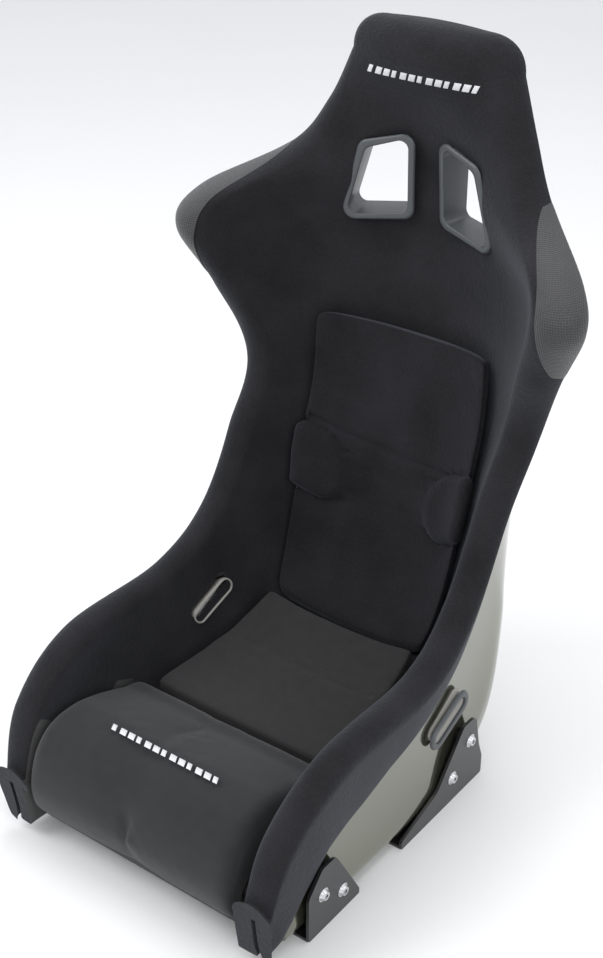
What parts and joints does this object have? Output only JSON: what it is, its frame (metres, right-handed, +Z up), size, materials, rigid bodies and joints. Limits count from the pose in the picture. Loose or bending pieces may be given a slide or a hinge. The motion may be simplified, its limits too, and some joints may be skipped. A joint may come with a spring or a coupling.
{
  "type": "racing seat",
  "caption": "Fixed-back racing bucket seat with a moulded shell, padded wings and bolsters, loose cushions, harness openings and side mounts.",
  "frame": {"origin": "centre of the seat's footprint, on the floor under the side mounts", "axes": "+Z up, the seat faces -Y, +X is the occupant's left"},
  "size_m": [0.5812, 0.6378, 0.9058],
  "materials": {
    "shell_gloss": "high-gloss black moulded laminate with an olive cast",
    "cover_velour": "brushed black velour",
    "seat_weave": "coarse charcoal weave",
    "thigh_weave": "fine charcoal weave",
    "patch_mesh": "grey spacer mesh",
    "foam": "moulded grey foam",
    "thread": "white embroidery thread",
    "bezel_plastic": "satin grey moulded plastic",
    "sleeve_plastic": "pale grey moulded plastic",
    "edge_rubber": "matt black rubber edging",
    "mount_steel": "satin black powder coat",
    "fastener_steel": "bright zinc-plated steel"
  },
  "bodies": {
    "root": {"shell": "shell_gloss", "left_edge_trim": "edge_rubber", "right_edge_trim": "edge_rubber", "foam_base": "foam", "left_bolster": "cover_velour", "right_bolster": "cover_velour", "left_wing_pad": "cover_velour", "right_wing_pad": "cover_velour", "left_wing_patch": "patch_mesh", "right_wing_patch": "patch_mesh", "upper_back_pad": "cover_velour", "headrest_pad": "cover_velour", "head_crown": "cover_velour", "seat_cushion": "seat_weave", "thigh_cushion": "thigh_weave", "back_cushion": "cover_velour", "left_lumbar_lobe": "cover_velour", "right_lumbar_lobe": "cover_velour", "head_badge": "thread", "thigh_badge": "thread", "left_shoulder_bezel": "bezel_plastic", "right_shoulder_bezel": "bezel_plastic", "left_shoulder_ring": "bezel_plastic", "right_shoulder_ring": "bezel_plastic", "left_lap_bezel": "bezel_plastic", "right_lap_bezel": "bezel_plastic", "left_lap_sleeve": "sleeve_plastic", "right_lap_sleeve": "sleeve_plastic", "left_front_mount": "mount_steel", "right_front_mount": "mount_steel", "left_rear_mount": "mount_steel", "right_rear_mount": "mount_steel", "mount_bolts": "fastener_steel", "mount_washers": "fastener_steel", "mount_spacers": "mount_steel", "mount_inserts": "fastener_steel"}
  },
  "joints": []
}
